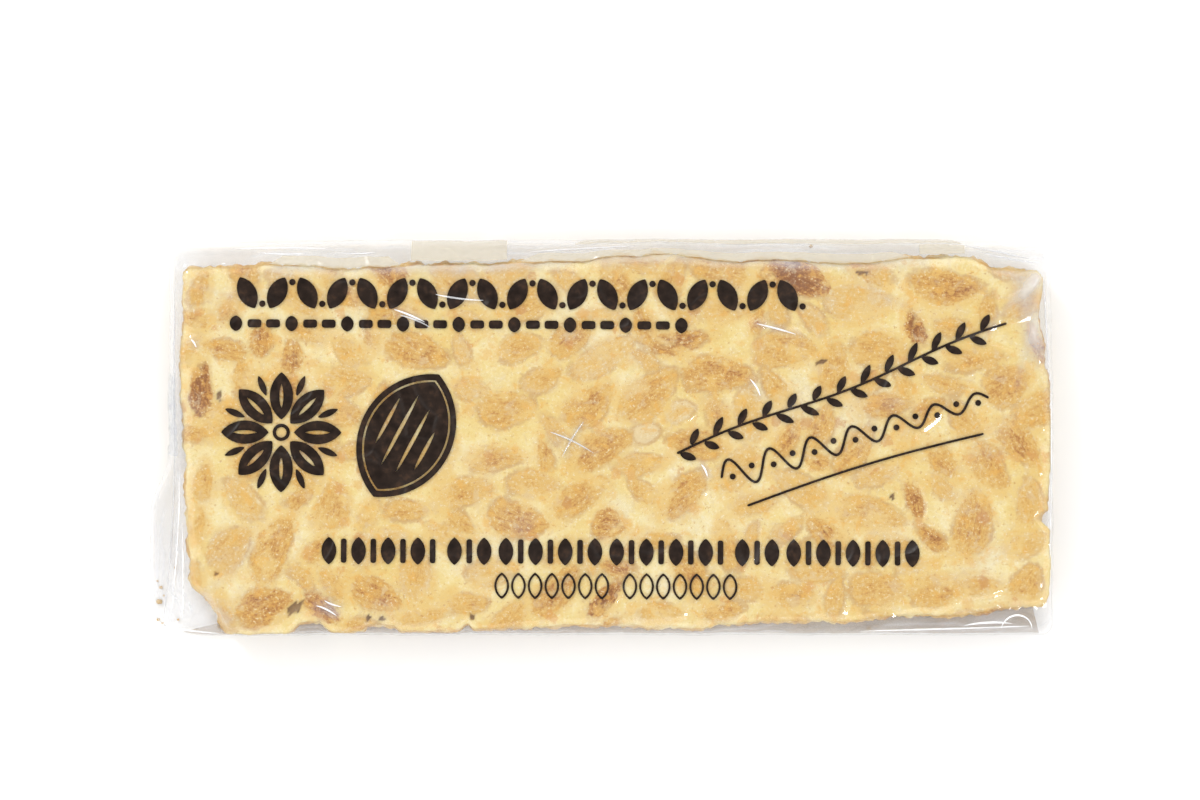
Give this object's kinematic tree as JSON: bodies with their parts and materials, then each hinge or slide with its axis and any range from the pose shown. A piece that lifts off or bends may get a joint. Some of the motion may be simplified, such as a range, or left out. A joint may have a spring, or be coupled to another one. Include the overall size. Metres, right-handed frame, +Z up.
{
  "type": "wrapped almond nougat block",
  "caption": "Flat oblong slab of hard almond nougat sealed in clear, slightly loose film that leans out past its edges, lying face up.",
  "frame": {"origin": "middle of the wrap's footprint, on the surface it lies on", "axes": "+X along the slab's length, +Y across it towards the back, +Z up out of the printed face"},
  "size_m": [0.2101, 0.0922, 0.016],
  "materials": {
    "nougat": "cream nougat set with whole toasted almonds, slightly sticky sheen",
    "film": "clear thin glossy film",
    "print": "dark brown ink on clear film"
  },
  "bodies": {
    "root": {"wrapped_nougat_slab": "nougat"}
  },
  "joints": []
}
